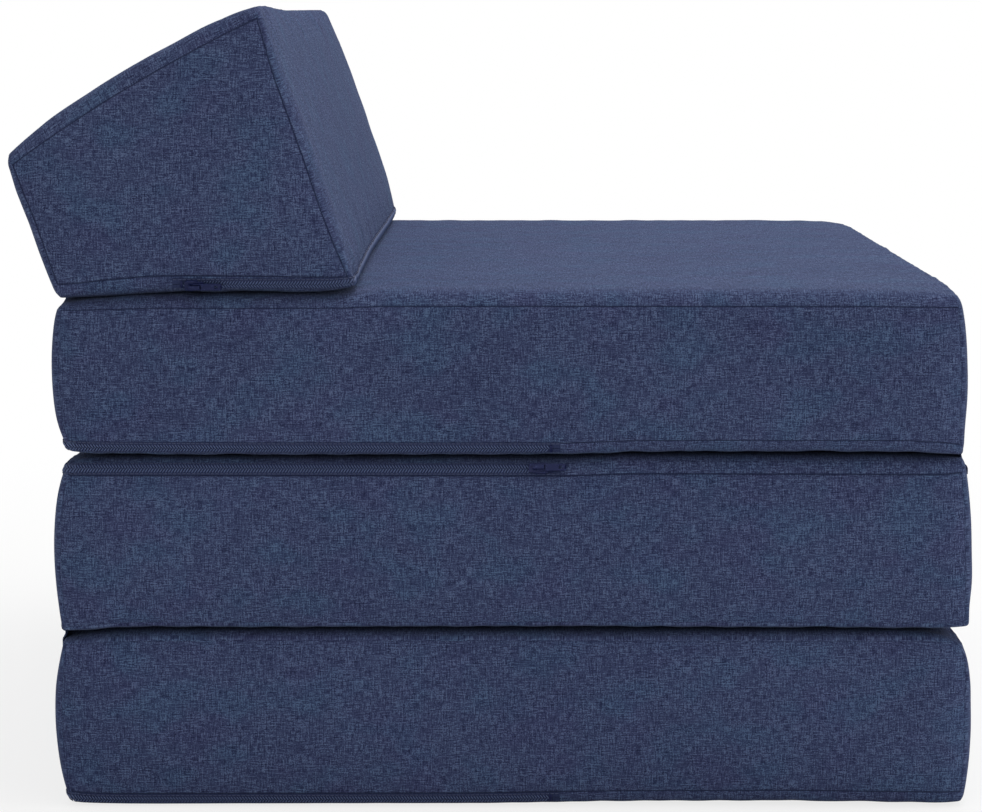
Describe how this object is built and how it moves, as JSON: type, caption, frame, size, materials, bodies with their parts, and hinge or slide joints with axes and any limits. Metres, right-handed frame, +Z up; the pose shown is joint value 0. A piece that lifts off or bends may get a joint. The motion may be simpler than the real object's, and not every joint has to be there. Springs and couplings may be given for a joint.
{
  "type": "folding sofa bed",
  "caption": "Fold-out foam sofa bed: zipped fabric cushions stacked in a zigzag as a seat, with a hinged wedge backrest that becomes the pillow.",
  "frame": {"origin": "on the floor, at the middle of the stacked blocks' footprint", "axes": "+X across the seat to the sitter's left, +Y to the rear, so the seat's front faces -Y, and +Z up"},
  "size_m": [0.77, 0.6967, 0.5759],
  "materials": {
    "cover": "matte",
    "hinge_fabric": "matte",
    "zip_tape": "matte",
    "zip_coil": "satin",
    "zip_metal": "satin",
    "foam": "matte"
  },
  "bodies": {
    "bottom_block": {"bottom_foam_core": "foam", "bottom_cover_band": "cover", "bottom_cover_left_panel": "cover", "bottom_cover_right_panel": "cover", "bottom_zip_tapes": "zip_tape", "bottom_zip_coils": "zip_coil", "bottom_zip_stops": "zip_metal", "rear_hinge_strip": "hinge_fabric"},
    "bottom_slider": {"bottom_zip_slider": "zip_metal"},
    "bottom_pull": {"bottom_zip_pull": "zip_metal"},
    "middle_block": {"middle_foam_core": "foam", "middle_cover_band": "cover", "middle_cover_left_panel": "cover", "middle_cover_right_panel": "cover", "middle_zip_tapes": "zip_tape", "middle_zip_coils": "zip_coil", "middle_zip_stops": "zip_metal", "front_hinge_strip": "hinge_fabric"},
    "middle_slider": {"middle_zip_slider": "zip_metal"},
    "middle_pull": {"middle_zip_pull": "zip_metal"},
    "seat_block": {"seat_foam_core": "foam", "seat_cover_band": "cover", "seat_cover_left_panel": "cover", "seat_cover_right_panel": "cover", "seat_zip_tapes": "zip_tape", "seat_zip_coils": "zip_coil", "seat_zip_stops": "zip_metal", "backrest_hinge_strip": "hinge_fabric"},
    "seat_slider": {"seat_zip_slider": "zip_metal"},
    "seat_pull": {"seat_zip_pull": "zip_metal"},
    "backrest": {"backrest_foam_core": "foam", "backrest_cover_band": "cover", "backrest_cover_left_panel": "cover", "backrest_cover_right_panel": "cover", "backrest_zip_tapes": "zip_tape", "backrest_zip_coils": "zip_coil", "backrest_zip_stops": "zip_metal"},
    "backrest_slider": {"backrest_zip_slider": "zip_metal"},
    "backrest_pull": {"backrest_zip_pull": "zip_metal"}
  },
  "joints": [
    {"name": "rear_fold", "type": "hinge", "parent": "bottom_block", "child": "middle_block", "pos_m": [0, 0.3342, 0.12555], "axis": [-1, 0, 0], "range_deg": [0, 179.9], "deforming": ["rear_hinge_strip"]},
    {"name": "front_fold", "type": "hinge", "parent": "middle_block", "child": "seat_block", "pos_m": [0, -0.3342, 0.25125], "axis": [1, 0, 0], "range_deg": [0, 179.9], "deforming": ["front_hinge_strip"]},
    {"name": "backrest_fold", "type": "hinge", "parent": "seat_block", "child": "backrest", "pos_m": [0, 0.3305, 0.37695], "axis": [-1, 0, 0], "range_deg": [0, 153], "deforming": ["backrest_hinge_strip"]},
    {"name": "bottom_zip_slide", "type": "slide", "parent": "bottom_block", "child": "bottom_slider", "axis": [0, 1, 0], "range_m": [0, 0.323]},
    {"name": "bottom_pull_swing", "type": "hinge", "parent": "bottom_slider", "child": "bottom_pull", "pos_m": [0.38252, -0.0186, 0.00494], "axis": [0.4472, 0, 0.8944], "range_deg": [0, 150]},
    {"name": "middle_zip_slide", "type": "slide", "parent": "middle_block", "child": "middle_slider", "axis": [0, 1, 0], "range_m": [0, 0.323]},
    {"name": "middle_pull_swing", "type": "hinge", "parent": "middle_slider", "child": "middle_pull", "pos_m": [-0.38252, -0.0186, 0.24566], "axis": [-0.4472, 0, -0.8944], "range_deg": [0, 150]},
    {"name": "seat_zip_slide", "type": "slide", "parent": "seat_block", "child": "seat_slider", "axis": [0, 1, 0], "range_m": [0, 0.323]},
    {"name": "seat_pull_swing", "type": "hinge", "parent": "seat_slider", "child": "seat_pull", "pos_m": [0.38252, -0.0186, 0.25684], "axis": [0.4472, 0, 0.8944], "range_deg": [0, 150]},
    {"name": "backrest_zip_slide", "type": "slide", "parent": "backrest", "child": "backrest_slider", "axis": [0, -1, 0], "range_m": [0, 0.082]},
    {"name": "backrest_pull_swing", "type": "hinge", "parent": "backrest_slider", "child": "backrest_pull", "pos_m": [-0.38252, 0.2276, 0.38254], "axis": [0.4472, 0, -0.8944], "range_deg": [0, 150]}
  ]
}
